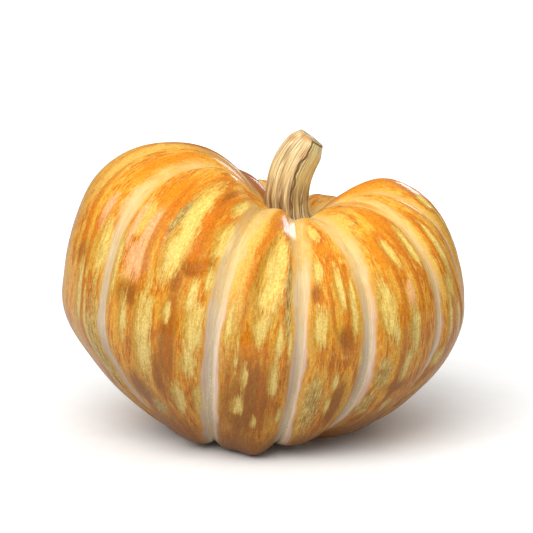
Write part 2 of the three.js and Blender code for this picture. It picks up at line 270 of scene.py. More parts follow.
def meridian(azimuth, step):
    """Radius and height of the smooth body."""
    crest_r, crest_z, equator_r, equator_z, foot_r, foot_z, pit, upper, lower, foot = (
        compass(values, azimuth)
        for values in (
            CREST_RADIUS, CREST_HEIGHT, EQUATOR_RADIUS, EQUATOR_HEIGHT, FOOT_RADIUS, FOOT_HEIGHT,
            PIT_FULLNESS, UPPER_FULLNESS, LOWER_FULLNESS, FOOT_FULLNESS,
        )
    )
    early, late = quarter_turn(np.clip(step, 0, 1), pit, pit)
    radius = PIT_RADIUS + (crest_r - PIT_RADIUS) * late
    height = PIT_HEIGHT + (crest_z - PIT_HEIGHT) * early
    early, late = quarter_turn(np.clip(step - 1, 0, 1), upper, upper)
    radius = radius + (equator_r - crest_r) * early
    height = height + (equator_z - crest_z) * late
    early, late = quarter_turn(np.clip(step - 2, 0, 1), lower, foot)
    radius = radius + (foot_r - equator_r) * late
    height = height + (foot_z - equator_z) * early
    radius = radius + (BASE_RADIUS - foot_r) * np.clip(step - 3, 0, 1)
    height = height + (BASE_HEIGHT - foot_z) * smoothstep(3, 4, step)
    return radius, height


def rib_azimuth(rib, step):
    """Azimuth in degrees, straight between the two nearest grooves."""

    def groove(index):
        crown, equator, foot = np.moveaxis(GROOVES[index % RIBS, :3], -1, 0)
        to_equator = np.clip((step - CROWN_STEP) / (2 - CROWN_STEP), 0, 1)
        to_foot = np.clip(step - 2, 0, 1) ** 2
        azimuth = 360 * (index // RIBS) + crown
        azimuth = azimuth + (equator - crown) * to_equator
        return azimuth + (foot - equator) * to_foot

    first = np.floor(rib).astype(int)
    f = rib - first
    return groove(first) * (1 - f) + groove(first + 1) * f


def smooth_point(rib, step):
    azimuth = rib_azimuth(rib, step)
    radius, height = meridian(azimuth, step)
    turn = np.radians(azimuth)
    x = PIT[0] * height / PIT_HEIGHT + radius * np.sin(turn)
    y = PIT[1] * height / PIT_HEIGHT - radius * np.cos(turn)
    return np.stack([x, y, height], -1)


def rib_distance(rib, other):
    """Signed distance in ribs, the short way round."""
    return np.mod(rib - other + RIBS / 2, RIBS) - RIBS / 2


def mark_field(rib, step, marks):
    """1 in the middle of a mark, 0 on its edge, falling to -1 outside."""
    field = np.full(rib.shape, -1.0)
    for at, along_at, half_width, half_length, lean in marks:
        across = rib_distance(rib, at) - lean * (step - along_at)
        reach = np.hypot(across / half_width, (step - along_at) / half_length)
        field = np.maximum(field, 1 - reach)
    return field


def tooling_height(rib, step):
    """How far ridges, hollows and dents stand off the rib; a dent has a faint raised rim."""
    height = np.zeros(rib.shape)
    for *mark, top in TOOLING:
        height += top * smoothstep(-0.1, 0.8, mark_field(rib, step, [mark]))
    for mark in MARKS["yellow"]:
        field = mark_field(rib, step, [mark])
        rim = DENT_RIM * np.exp(-((field / 0.2) ** 2))
        depth = DENT * mark[2] * (1 - 0.7 * smoothstep(1.6, 2.0, mark[1]))
        height -= depth * (smoothstep(-0.15, 0.55, field) - rim)
    return height


def waver(point):
    """The unevenness at a point, mostly between -1 and 1: always the same waves."""
    dice = np.random.default_rng(3)
    total = np.zeros(point.shape[:-1])
    for _ in range(WAVES):
        direction = dice.normal(size=3)
        direction *= 2 * math.pi / dice.uniform(*WAVE_LENGTH) / np.linalg.norm(direction)
        total += np.sin(point @ direction + dice.uniform(0, 2 * math.pi))
    return total / math.sqrt(WAVES)


def relief(rib, step, rib_width, point):
    """How far the ribs, marks and unevenness stand off the smooth surface."""
    groove_share = np.abs(2 * (rib - np.floor(rib)) - 1)
    to_groove = (1 - groove_share) * rib_width / 2
    groove = GROOVES[np.round(rib).astype(int) % RIBS, 3]
    deeper_over_crest = 0.7 * np.exp(-(((step - 0.9) / 0.35) ** 2))
    deeper_under_belly = 0.35 * np.clip(step - 2, 0, 1)
    depth = GROOVE_DEPTH * groove * np.minimum(1, rib_width / FULL_DEPTH_RIB)
    depth = depth * (0.85 + deeper_over_crest + deeper_under_belly)
    rounding = 0.45 * groove_share**3
    cleft = 0.75 * np.exp(-((to_groove / GROOVE_WIDTH) ** 2))
    height = -depth * (rounding + cleft)
    for at, along_at, half_width, half_length, swell in SWELLS:
        across = rib_distance(rib, at) / half_width
        along = (step - along_at) / half_length
        height = height + swell * np.exp(-(across**2) - along**2)
    height = height + tooling_height(rib, step) + WAVE_HEIGHT * waver(point)
    out_of_pit = np.clip(step / 0.35, 0, 1)
    above_base = 1 - smoothstep(3, 3.8, step)
    return height * out_of_pit * above_base


def body_point(rib, step, inset=0.0):
    """Point on the body in millimetres, and the width of one rib there."""
    delta = 1e-3
    middle_step = np.clip(step, delta, 4 - delta)
    across = smooth_point(rib + delta, step) - smooth_point(rib - delta, step)
    down = smooth_point(rib, middle_step + delta) - smooth_point(rib, middle_step - delta)
    outward = np.cross(down, across)
    outward /= np.linalg.norm(outward, axis=-1, keepdims=True)
    rib_width = np.linalg.norm(across, axis=-1) / (2 * delta)
    point = smooth_point(rib, step)
    offset = relief(rib, step, rib_width, point) - inset
    return point + outward * offset[..., None], rib_width


# ---- Meshes ---------------------------------------------------------------------------------


def grid_faces(rows, columns, wrap_rows):
    """Four corners of each face of a grid that wraps round its columns."""
    first_corners = np.arange(rows if wrap_rows else rows - 1)
    r, c = np.meshgrid(first_corners, np.arange(columns), indexing="ij")
    below = (r + 1) % rows
    beside = (c + 1) % columns
    corners = [r * columns + c, below * columns + c, below * columns + beside, r * columns + beside]
    return np.stack(corners, -1).reshape(-1, 4)


def new_piece(name, points, faces, replaces):
    """A smooth mesh object, from points in millimetres round the base's middle, for a CAD node."""
    mesh = bpy.data.meshes.new(name)
    mesh.from_pydata(((points + BASE) * MM).tolist(), [], [list(face) for face in faces])
    mesh.validate()
    mesh.polygons.foreach_set("use_smooth", [True] * len(mesh.polygons))
    mesh.update()
    piece = bpy.data.objects.new(name, mesh)
    bpy.context.scene.collection.objects.link(piece)
    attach(piece, "root")
    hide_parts(replaces)
    return piece


def add_values(piece, name, values):
    """One number per point, for the piece's material to read."""
    layer = piece.data.attributes.new(name, "FLOAT", "POINT")
    layer.data.foreach_set("value", np.asarray(values, np.float32).ravel())


def add_map(piece, name, u, v):
    """A flat map with a place for each corner of each face."""
    layer = piece.data.uv_layers.new(name=name)
    layer.data.foreach_set("uv", np.stack([u, v], -1).astype(np.float32).ravel())


def loft(rings):
    """Points and faces of a closed skin over rings, with a fan over each end."""
    rows, columns = rings.shape[:2]
    points = np.concatenate([rings.reshape(-1, 3), [rings[0].mean(0)], [rings[-1].mean(0)]])
    top, bottom = rows * columns, rows * columns + 1
    faces = [tuple(face) for face in grid_faces(rows, columns, wrap_rows=False).tolist()]
    last = (rows - 1) * columns
    for column in range(columns):
        beside = (column + 1) % columns
        faces.append((top, column, beside))
        faces.append((bottom, last + beside, last + column))
    return points, faces


# ---- The painted body -----------------------------------------------------------------------

COLUMNS_PER_RIB = 42
FIRST_RIB = 7  # the map's seam lies in this groove, at the back
GATHERING = 1.15  # 1 spaces the columns evenly, more draws them to the grooves
ROWS = (20, 58, 60, 12)  # on each stretch of the meridian
INSIDE_STEPS = [4, 3.5, 3, 2.7, 2.4, 2, 1.6, 1.3, 1, 0.7, 0.4, 0]
BASE_RING_RADIUS = 24  # a ring of points between the base's edge and the vent
INSIDE_RING_RADIUS = 18  # the same on the inside
VENT_CHAMFER = 0.8
MAP_GAP = 300  # millimetres between two ribs' places on the stroke map, so their paint differs
BISQUE_STEPS = (3.7, 3.8)  # the glaze ends between these steps, under the foot


def gathered_ribs():
    """Rib coordinates of the columns, closer together by the grooves."""
    share = np.arange(COLUMNS_PER_RIB) / COLUMNS_PER_RIB
    side = np.where(share < 0.5, -1, 1)
    one_rib = 0.5 + side * (1 - (1 - np.abs(2 * share - 1)) ** GATHERING) / 2
    return (FIRST_RIB + np.arange(RIBS)[:, None] + one_rib).ravel()


def outside_steps():
    stretches = [i + np.arange(count) / count for i, count in enumerate(ROWS)]
    return np.concatenate([*stretches, [4.0]])


def ring(azimuth, radius, height, centre=(0, 0)):
    turn = np.radians(azimuth)
    x = centre[0] + radius * np.sin(turn)
    y = centre[1] - radius * np.cos(turn)
    return np.stack([x, y, np.full(turn.shape, float(height))], -1)


def add_hidden_marks():
    """Brush marks for the ribs that face away, placed by chance."""
    dice = np.random.default_rng(7)
    for rib in HIDDEN_RIBS:
        for colour, (count, thin, wide, short, long) in HIDDEN_MARKS.items():
            steps = HIDDEN_GREEN_STEPS if colour == "green" else HIDDEN_STEPS
            for _ in range(count):
                at = rib + dice.uniform(0.12, 0.88), dice.uniform(*steps)
                size = dice.uniform(thin, wide), dice.uniform(short, long)
                MARKS[colour].append((*at, *size, dice.uniform(-HIDDEN_LEAN, HIDDEN_LEAN)))


def body_rings():
    """Rings of one closed skin: outside, base, vent, inside and socket, joined end to end."""
    ribs = gathered_ribs()
    steps = outside_steps()
    rib, step = np.meshgrid(ribs, steps)
    outside, rib_width = body_point(rib, step)

    base_azimuth = rib_azimuth(ribs, np.full(ribs.shape, 4.0))
    base_ring = [
        ring(base_azimuth, BASE_RING_RADIUS, BASE_HEIGHT),
        ring(base_azimuth, VENT_RADIUS + VENT_CHAMFER, BASE_HEIGHT),
        ring(base_azimuth, VENT_RADIUS, BASE_HEIGHT + VENT_CHAMFER),
        ring(base_azimuth, VENT_RADIUS, BASE_HEIGHT + WALL),
        ring(base_azimuth, INSIDE_RING_RADIUS, BASE_HEIGHT + WALL),
    ]
    inside_rib, inside_step = np.meshgrid(ribs, np.array(INSIDE_STEPS, float))
    inside, _ = body_point(inside_rib, inside_step, inset=WALL)
    ceiling = inside[-1] * (1, 1, 0) + (0, 0, PIT_HEIGHT - PIT_FLOOR)
    pit_azimuth = rib_azimuth(ribs, np.zeros(ribs.shape))
    socket = [
        ring(pit_azimuth, SOCKET_RADIUS, PIT_HEIGHT - PIT_FLOOR, PIT[:2]),
        ring(pit_azimuth, SOCKET_RADIUS, PIT_HEIGHT, PIT[:2]),
    ]
    rings = np.concatenate([outside, base_ring, inside, [ceiling], socket])
    return rings, rib, step, rib_width


def corner_values(values):
    """Values of a grid at the four corners of each of its faces, wrapping round the columns."""
    beside = np.roll(values, -1, axis=1)
    corners = [values[:-1], values[1:], beside[1:], beside[:-1]]
    return np.stack(corners, -1)


def add_paint_values(body, rib, step):
    """What the glaze reads at each point: the marks, the bands and how far down it lies."""

    def add(name, values, unpainted):
        beyond = np.full(len(body.data.vertices) - values.size, float(unpainted))
        add_values(body, name, np.concatenate([values.ravel(), beyond]))

    for colour, marks in MARKS.items():
        add(colour, mark_field(rib, step, marks), -1)
    cores_and_highlights = [
        (at + HIGHLIGHT_SHIFT * wide, along_at, CORE_WIDTH * wide, *rest)
        for at, along_at, wide, *rest in MARKS["yellow"]
    ]
    add("yellow_core_and_highlight", mark_field(rib, step, cores_and_highlights), -1)
    creases = [mark for *mark, top in TOOLING if top > 0]
    add("crease", mark_field(rib, step, creases), -1)

    # The bands are widest over the crest and narrower again from the equator down.
    nearest = np.round(rib).astype(int) % RIBS
    width = 0.9 + 0.35 * smoothstep(0.6, 1.1, step) - 0.25 * smoothstep(1.3, 2.0, step)
    add("band_width", GROOVES[nearest, 4] * width, 0)
    add("groove", nearest, 0)
    add("glazed", 1 - smoothstep(*BISQUE_STEPS, step), 0)
    add("step", step, 4)


def add_paint_maps(body, outside, rib, rib_width):
    """Maps in millimetres: along each meridian from the crest, and across each rib and groove."""
    rows, columns = rib.shape
    lengths = np.linalg.norm(np.diff(outside, axis=0), axis=-1)
    along = np.concatenate([np.zeros((1, columns)), np.cumsum(lengths, axis=0)])
    along -= along[ROWS[0]]

    # Strokes narrow less than the ribs do towards the pit and the foot.
    equator = rib_width[ROWS[0] + ROWS[1]]
    stroke_width = rib_width**0.6 * equator**0.4

    rib_corners = corner_values(rib)
    rib_corners[:, -1, 2:] += RIBS
    face_rib = rib_corners.mean(-1, keepdims=True)
    in_rib = np.floor(face_rib)
    to_groove = np.round(face_rib)
    u_stroke = (rib_corners - in_rib - 0.5) * corner_values(stroke_width)
    u_stroke = u_stroke + MAP_GAP * in_rib
    u_band = (rib_corners - to_groove) * corner_values(rib_width)

    def all_corners(values):
        return np.concatenate([values.ravel(), np.zeros(len(body.data.loops) - values.size)])

    v = all_corners(corner_values(along))
    add_map(body, "strokes", all_corners(u_stroke), v)
    add_map(body, "band", all_corners(u_band), v)


def make_body():
    add_hidden_marks()
    rings, rib, step, rib_width = body_rings()
    faces = grid_faces(*rings.shape[:2], wrap_rows=True)
    body = new_piece("painted_body", rings.reshape(-1, 3), faces, "body_shell")
    add_paint_values(body, rib, step)
    add_paint_maps(body, rings[: len(rib)], rib, rib_width)
    body.data.materials.append(painted_glaze())


# ---- Shader building ------------------------------------------------------------------------


def srgb(red, green, blue):
    """A colour in everyday 0-255 values as the linear colour that shaders take."""
    values = np.array([red, green, blue]) / 255
    linear = np.where(values <= 0.04045, values / 12.92, ((values + 0.055) / 1.055) ** 2.4)
    return (*linear.tolist(), 1.0)


class Shader:
    """Short names for the nodes of one material."""

    def __init__(self, name):
        self.material = bpy.data.materials.new(name)
        self.material.use_nodes = True
        self.tree = self.material.node_tree
        self.tree.nodes.clear()

    def put(self, socket, value):
        if isinstance(value, bpy.types.NodeSocket):
            self.tree.links.new(value, socket)
        else:
            socket.default_value = value

    def node(self, kind, inputs=(), output=0, **settings):
        node = self.tree.nodes.new("ShaderNode" + kind)
        for name, value in settings.items():
            setattr(node, name, value)
        for key, value in dict(inputs).items():
            self.put(node.inputs[key], value)
        return node.outputs[output] if node.outputs else node

    def math(self, operation, a, b=0.0):
        return self.node("Math", {0: a, 1: b}, operation=operation)

    def add(self, a, b):
        return self.math("ADD", a, b)

    def times(self, a, b):
        return self.math("MULTIPLY", a, b)

    def scaled(self, value, low, high, to_low=0.0, to_high=1.0):
        inputs = {
            "Value": value, "From Min": low, "From Max": high, "To Min": to_low, "To Max": to_high,
        }
        return self.node("MapRange", inputs, interpolation_type="SMOOTHSTEP")

    def mix(self, share, a, b, blend="MIX"):
        return self.node("Mix", {0: share, 6: a, 7: b}, 2, data_type="RGBA", blend_type=blend)

    def values(self, name):
        return self.node("Attribute", output=2, attribute_name=name)

    def place(self):
        """Object coordinates, in metres."""
        return self.node("TexCoord", output=3)

    def noise(self, at, scale, detail=3.0, roughness=0.55, distortion=0.0):
        inputs = {
            "Vector": at, "Scale": scale, "Detail": detail, "Roughness": roughness,
            "Distortion": distortion,
        }
        return self.node("TexNoise", inputs)

    def cells(self, at, scale):
        return self.node("TexVoronoi", {"Vector": at, "Scale": scale})

    def map_axes(self, name):
        flat = self.node("UVMap", uv_map=name)
        return self.node("SeparateXYZ", {0: flat}, 0), self.node("SeparateXYZ", {0: flat}, 1)

    def vector(self, x, y, z=0.0):
        return self.node("CombineXYZ", {0: x, 1: y, 2: z})

    def brush(self, across, along, width, length, seed, detail=2.0, distortion=0.0):
        """Noise drawn out along the stroke: bristle width and stroke length in millimetres."""
        at = self.vector(self.times(across, 1 / width), self.times(along, 1 / length), seed)
        return self.scaled(self.noise(at, 1.0, detail, 0.6, distortion), 0.3, 0.7)

    def finish(self, colour, roughness, bump=None, bump_height=0.0001, **more):
        inputs = {"Base Color": colour, "Roughness": roughness}
        if bump is not None:
            inputs["Normal"] = self.node("Bump", {"Height": bump, "Distance": bump_height})
        inputs.update({name.replace("_", " "): value for name, value in more.items()})
        surface = self.node("BsdfPrincipled", inputs)
        self.node("OutputMaterial", {"Surface": surface})
        return self.material


# ---- Materials ------------------------------------------------------------------------------


def painted_glaze():
    """Hand-brushed orange, ochre and yellow with pale bands in the grooves, under clear glaze."""
    s = Shader("painted_glaze")
    across, along = s.map_axes("strokes")
    place = s.place()
    bristles = s.brush(across, along, 0.6, 5.5, 1.0)
    strokes = s.brush(across, along, 1.9, 12, 2.0, 3.0, 0.7)
    sweeps = s.brush(across, along, 6.0, 30, 3.0, 3.0, 0.8)
    blotches = s.scaled(s.noise(place, 45.0, 5.0, 0.65, 0.4), 0.35, 0.65)
    grain = s.scaled(s.noise(place, 800.0, 2.0, 0.7), 0.3, 0.7)

    step = s.values("step")
    # low rises from 0 over the crest to 1 towards the foot. Every colour mixed on it darkens
    # downwards, partly as a duller paint and partly as painted shade.
    low = s.scaled(s.add(step, s.times(sweeps, 0.3)), 1.4, 2.4)
    colour = ground(s, low, sweeps, strokes, bristles, blotches)
    colour = brush_marks(s, low, colour, strokes, bristles, blotches)
    calm = s.scaled(s.values("yellow_core_and_highlight"), 0.0, 0.5, 1.0, 0.4)
    hairs = s.times(s.scaled(bristles, 0, 0.8, 0.36, 0.0), calm)
    colour = s.mix(hairs, colour, srgb(222, 186, 136), "MULTIPLY")
    colour = s.mix(s.scaled(grain, 0, 1, 0.45, 0.0), colour, srgb(208, 172, 130), "MULTIPLY")
    colour = groove_bands(s, colour, step, place, blotches)

    specks = s.scaled(s.cells(place, 240.0), 0.10, 0.05)
    rare = s.scaled(s.noise(place, 60.0, 0.0), 0.6, 0.64)
    colour = s.mix(s.times(s.times(specks, rare), 0.6), colour, srgb(96, 60, 30))

    glazed = s.values("glazed")
    bisque = s.mix(grain, srgb(214, 200, 178), srgb(228, 216, 196))
    bump = s.add(s.times(bristles, 0.5), s.times(strokes, 0.6))
    bump = s.add(bump, s.times(grain, 0.35))
    return s.finish(
        s.mix(glazed, bisque, colour),
        s.scaled(glazed, 0, 1, 0.85, 0.5),
        bump,
        0.00014,
        Specular_IOR_Level=0.15,
        Coat_Weight=s.times(glazed, 0.7),
        Coat_Roughness=s.scaled(blotches, 0, 1, 0.12, 0.22),
    )


def ground(s, low, sweeps, strokes, bristles, blotches):
    """Amber with golden streaks and a brown wash, duller towards the foot, partly with painted
    shade.
    """
    golden = s.mix(low, srgb(255, 198, 60), srgb(224, 170, 58))
    amber = s.mix(low, srgb(249, 164, 14), srgb(210, 132, 20))
    wash = s.mix(low, srgb(222, 134, 6), srgb(160, 100, 20))
    tone = s.add(s.times(sweeps, 0.45), s.times(strokes, 0.25))
    tone = s.add(tone, s.times(blotches, 0.2))
    tone = s.add(tone, s.times(bristles, 0.1))
    colour = s.mix(s.scaled(tone, 0.4, 0.64), amber, golden)
    colour = s.mix(s.times(s.scaled(tone, 0.46, 0.22), 0.9), colour, wash)
    light_hairs = s.times(s.scaled(bristles, 0.62, 0.95), s.scaled(low, 0, 1, 0.4, 0.25))
    pale = s.mix(low, srgb(255, 232, 150), srgb(236, 196, 110))
    return s.mix(light_hairs, colour, pale)


def brush_marks(s, low, colour, strokes, bristles, blotches):
    """The marks: drawn-out noise on their soft fields gives ragged ends and soft sides."""
    ragged = s.add(s.times(strokes, 0.45), s.times(bristles, 0.35))
    ragged = s.add(ragged, s.times(blotches, 0.3))

    def mark(name, start, end, strength):
        return s.times(s.scaled(s.add(s.values(name), ragged), start, end), strength)

    orange = s.mix(low, srgb(247, 154, 0), srgb(216, 132, 12))
    crease = s.mix(low, srgb(226, 128, 6), srgb(176, 104, 22))
    deep_orange = s.mix(low, srgb(234, 136, 4), srgb(184, 110, 18))
    umber_and_shade = s.mix(low, srgb(178, 102, 14), srgb(146, 92, 30))
    cream = s.mix(low, srgb(255, 210, 98), srgb(218, 184, 100))
    ochre = s.mix(low, srgb(232, 180, 62), srgb(192, 154, 62))
    yellow = s.mix(low, srgb(255, 228, 120), srgb(226, 202, 122))
    dull = s.mix(bristles, srgb(140, 116, 54), srgb(216, 196, 122))

    colour = s.mix(mark("orange", 0.1, 0.9, 0.85), colour, orange)
    colour = s.mix(mark("cream", 0.1, 0.9, 0.85), colour, cream)
    colour = s.mix(mark("pink", 0.2, 1.0, 0.8), colour, srgb(255, 200, 146))
    # Brown marks: umber paint, with painted shade by the pit, under the nub and across the foot.
    colour = s.mix(mark("brown", 0.1, 1.1, 0.9), colour, umber_and_shade)
    colour = s.mix(mark("crease", -0.1, 0.9, 0.75), colour, crease)
    rim = s.times(mark("yellow", -0.3, 0.1, 0.95), s.scaled(s.values("yellow"), 0.3, 0.0))
    rim = s.times(rim, s.scaled(low, 0.0, 0.6, 1.0, 0.2))
    colour = s.mix(rim, colour, deep_orange)
    # Ochre covers the whole mark. Its bright yellow core is the mark's own paint, shifted right as
    # a painted highlight on the right side of the dent. That leaves the duller left side as painted
    # shade.
    colour = s.mix(mark("yellow", 0.1, 0.75, 0.9), colour, ochre)
    core_and_highlight = s.times(mark("yellow_core_and_highlight", 0.05, 1.1, 1.0), s.scaled(strokes, 0.0, 0.6, 0.5, 1.0))
    colour = s.mix(core_and_highlight, colour, yellow)
    return s.mix(mark("green", 0.1, 1.0, 0.8), colour, dull)


def groove_bands(s, colour, step, place, blotches):
    """Pale bands: cream above, grey below, with painted shade on the left side, a painted highlight
    on the right side and painted glints.

    Each groove has a seed of its own. The paint is thin and soft-edged over the crest, and
    fuller, with wavering edges, further down.
    """
    across, along = s.map_axes("band")
    half = s.values("band_width")
    painted = s.scaled(half, 0.5, 1.5)
    seed = s.times(s.values("groove"), 3.7)
    bristles = s.brush(across, along, 0.5, 12, seed)
    streaks = s.brush(across, along, 1.5, 30, s.add(seed, 50.0))
    wavering = s.brush(across, along, 9.0, 28.0, s.add(seed, 100.0))
    wavering = s.times(s.add(wavering, -0.55), 1.8)
    beyond = s.math("SUBTRACT", s.add(s.math("ABSOLUTE", across), wavering), half)
    side = s.math("DIVIDE", s.add(across, s.scaled(streaks, 0, 1, -0.5, 0.5)), half)

    down = s.scaled(step, 1.2, 2.1)
    middle = s.mix(down, srgb(248, 212, 136), srgb(206, 191, 162))
    # Below the crest the left side turns a darker lavender grey, which is painted shade. The right
    # side turns a brighter pink cream, which is a painted highlight.
    left = s.mix(down, srgb(244, 216, 148), srgb(190, 164, 152))
    right = s.mix(down, srgb(254, 208, 124), srgb(248, 216, 196))
    band = s.mix(s.times(s.scaled(side, -0.2, -0.8), 0.8), middle, left)
    band = s.mix(s.times(s.scaled(side, 0.2, 0.6), 0.7), band, right)
    edge = s.mix(down, srgb(246, 200, 124), srgb(206, 172, 160))
    band = s.mix(s.times(s.scaled(side, 0.6, 0.9), 0.7), band, edge)
    stain = s.mix(blotches, srgb(196, 166, 116), srgb(226, 206, 166))
    band = s.mix(s.times(s.scaled(streaks, 0.5, 0.9), 0.45), band, stain)
    band = s.mix(s.scaled(bristles, 0, 0.7, 0.3, 0.0), band, srgb(200, 180, 160), "MULTIPLY")
    # Painted glints: tiny white specks low in the bands, strongest in their middles.
    sparkle = s.times(s.scaled(s.cells(place, 800.0), 0.3, 0.15), s.scaled(step, 1.8, 2.2))
    sparkle = s.times(sparkle, s.scaled(s.math("ABSOLUTE", side), 0.5, 0.2))
    band = s.mix(s.times(sparkle, 0.8), band, srgb(244, 242, 232))

    halo = s.mix(s.scaled(step, 1.4, 2.2), srgb(254, 210, 104), srgb(196, 158, 90))
    near = s.times(s.scaled(beyond, 3.5, -0.5), painted)
    colour = s.mix(s.times(near, 0.45), colour, halo)
    softness = s.scaled(step, 1.2, 2.0, 1.5, 0.55)
    covered = s.times(s.scaled(beyond, softness, s.times(softness, -1.1)), painted)
    thinnest = s.scaled(step, 1.2, 2.0, 0.35, 0.85)
    paint = s.scaled(s.add(streaks, blotches), 0.4, 1.3, thinnest, 1.0)
    paint = s.times(paint, s.scaled(step, 1.0, 1.9, 0.65, 0.94))
    return s.mix(s.times(covered, paint), colour, band)


def stem_paint():
    """Tan bark with fine brown fibres and a darker cut end, with painted shade and highlights;
    satin, and glossy by the roots.
    """
    s = Shader("stem_paint")
    across, along = s.map_axes("strokes")
    place = s.place()
    fibres = s.brush(across, along, 0.4, 14, 1.0, 3.0)
    lines = s.brush(across, along, 0.7, 26, 4.0, 1.0)
    streaks = s.brush(across, along, 1.8, 20, 2.0, 3.0, 0.3)
    blotches = s.scaled(s.noise(place, 120.0, 4.0), 0.35, 0.65)
    fine = s.noise(place, 700.0, 2.0)
    crack = s.values("crack")
    face = s.values("face")
    root = s.values("root")
    crease_shade = s.values("crease_shade")
    tip = s.values("tip")
    cut = s.values("cut")

    colour = s.mix(streaks, srgb(222, 188, 124), srgb(255, 236, 184))
    # The right face gets an olive copy of the tan: painted shade.
    olive_shade = s.mix(streaks, srgb(220, 200, 126), srgb(244, 230, 168))
    colour = s.mix(s.times(face, 0.85), colour, olive_shade)
    off_face = s.scaled(face, 0, 1, 0.9, 0.0)
    warm = s.times(s.scaled(blotches, 0.2, 0.8), s.times(tip, off_face))
    colour = s.mix(warm, colour, srgb(228, 164, 96))
    colour = s.mix(s.times(s.scaled(fibres, 0.45, 0.05), 0.45), colour, srgb(160, 120, 70))
    rough = s.scaled(face, 0, 1, 1.0, 0.4)
    thin_lines = s.times(s.scaled(lines, 0.22, 0.08), rough)
    colour = s.mix(s.times(thin_lines, 0.75), colour, srgb(124, 88, 50))
    colour = s.mix(s.times(s.times(crack, rough), 0.9), colour, srgb(118, 80, 44))
    # A dark, ragged line in the crease beside the sharp edge: painted shade.
    ragged = s.scaled(s.add(crease_shade, s.times(s.add(blotches, fibres), 0.35)), 0.75, 1.0)
    colour = s.mix(s.times(ragged, 0.85), colour, srgb(112, 78, 48))
    # Dark brown between the roots and towards the seat: the stem's own brown and painted shade.
    root_brown_and_shade = s.times(root, s.scaled(s.add(streaks, fibres), 1.7, 1.0))
    colour = s.mix(s.times(root_brown_and_shade, 0.95), colour, srgb(108, 64, 24))
    # Painted highlights: white glints along the fibres of the roots on the right face.
    glints = s.times(s.times(root, face), s.scaled(fibres, 0.75, 0.95))
    colour = s.mix(s.times(glints, 0.8), colour, srgb(240, 234, 236))
    pith = s.scaled(s.noise(place, 500.0, 3.0), 0.4, 0.6)
    end_grain = s.mix(pith, srgb(170, 138, 88), srgb(222, 194, 140))
    colour = s.mix(s.scaled(cut, 0.55, 0.9), colour, end_grain)
    # A dark line round the cut end's rim, strongest on the right face: painted shade.
    rim = s.times(s.scaled(cut, 0.05, 0.3), s.scaled(cut, 0.75, 0.5))
    colour = s.mix(s.times(rim, s.scaled(face, 0, 1, 0.25, 0.95)), colour, srgb(78, 60, 40))
    bump = s.add(s.times(fibres, 0.7), s.times(fine, 0.35))
    glaze = s.scaled(root, 0, 1, 0.15, 1.0)
    return s.finish(colour, 0.5, bump, 0.00012, Coat_Weight=glaze, Coat_Roughness=0.14)


def felt():
    """Pressed wool felt: mottled fibres and no gloss."""
    s = Shader("felt")
    place = s.place()
    fibres = s.noise(place, 2200.0, 4.0, 0.7, 1.5)
    clouds = s.noise(place, 350.0, 3.0)
    colour = s.mix(s.scaled(fibres, 0.35, 0.65), srgb(74, 60, 46), srgb(128, 108, 86))
    colour = s.mix(s.scaled(clouds, 0.4, 0.6, 0.0, 0.4), colour, srgb(96, 80, 64))
    return s.finish(colour, 0.95, fibres, 0.0003, Sheen_Weight=0.6, Sheen_Roughness=0.4)


def adhesive():
    """Cured, slightly yellowed glue."""
    s = Shader("adhesive")
    place = s.place()
    clouds = s.noise(place, 260.0, 4.0)
    colour = s.mix(s.scaled(clouds, 0.35, 0.65), srgb(206, 196, 160), srgb(232, 224, 196))
    return s.finish(colour, s.scaled(clouds, 0.3, 0.7, 0.35, 0.6), clouds, 0.0002)


def floor_paper():
    """Plain white studio paper: it glows further out and gives back a greyer light."""
    s = Shader("floor_paper")
    place = s.place()
    grain = s.scaled(s.noise(place, 40.0, 3.0), 0.4, 0.6)
    colour = s.mix(grain, srgb(255, 255, 254), srgb(253, 253, 252))
    seen = s.node("LightPath", output="Is Camera Ray")
    distance = s.node("VectorMath", {0: place}, "Value", operation="LENGTH")
    glow = s.times(seen, s.scaled(distance, 0.1, 1.2, 0.0, 0.6))
    colour = s.mix(seen, srgb(195, 193, 190), colour)
    return s.finish(colour, 0.9, Emission_Color=srgb(255, 255, 255), Emission_Strength=glow)


# ---- The stem -------------------------------------------------------------------------------

# Centre line (x, y, z) and radius, from the seat in the pit to the cut end.
STEM_LINE = np.array([
    (9, 6, 116.3, 12.4),
    (8.3, 6, 123, 12),
    (8, 6, 132, 11.9),
    (9.8, 6, 143, 12),
    (13.1, 6, 151.5, 11.8),
    (18.2, 6, 159.8, 10.7),
    (22.1, 6, 165, 7.8),
])
# Ridges: turn from the front towards the right in degrees, half width in degrees, height as a
# share of the radius. The first is the sharp edge that parts the two faces seen from the front.
STEM_RIDGES = [
    (8, 14, 0.10),
    (93, 24, 0.13),
    (170, 24, 0.09),
    (248, 28, 0.07),
    (315, 22, 0.03),
]
STEM_ROOTS = 11
STEM_ROOT_HEIGHT = 0.07  # a share of the radius
EDGE_FROM_RIDGE = 5  # the crease, darkened with painted shade, runs this many degrees right of the first ridge
EDGE_DEPTH = 0.45
FLUTES = 64
DEEPEST_FLUTE = 0.4
CUT_RINGS = np.array([0.05, 0.2, 0.4, 0.6, 0.76, 0.87, 0.94, 0.98])  # shares of the cut's radius
CUT_ROUNDING = 0.8
CUT_DISH = 1.3
SPIGOT_RADIUS = 6.5
SPIGOT_LENGTH = 14
STEM_COLUMNS = 420
STEM_ROWS = 170
STEM_MAP_RADIUS = 11.5


def through(points, share):
    """Catmull-Rom curve through points at a share of the way along."""
    padded = np.concatenate([[2 * points[0] - points[1]], points, [2 * points[-1] - points[-2]]])
    at = np.clip(np.asarray(share) * (len(points) - 1), 0, len(points) - 1 - 1e-9)
    first = np.floor(at).astype(int)
    a, b, c, d = (padded[first + k] for k in range(4))
    return smooth_between(a, b, c, d, (at - first)[..., None])


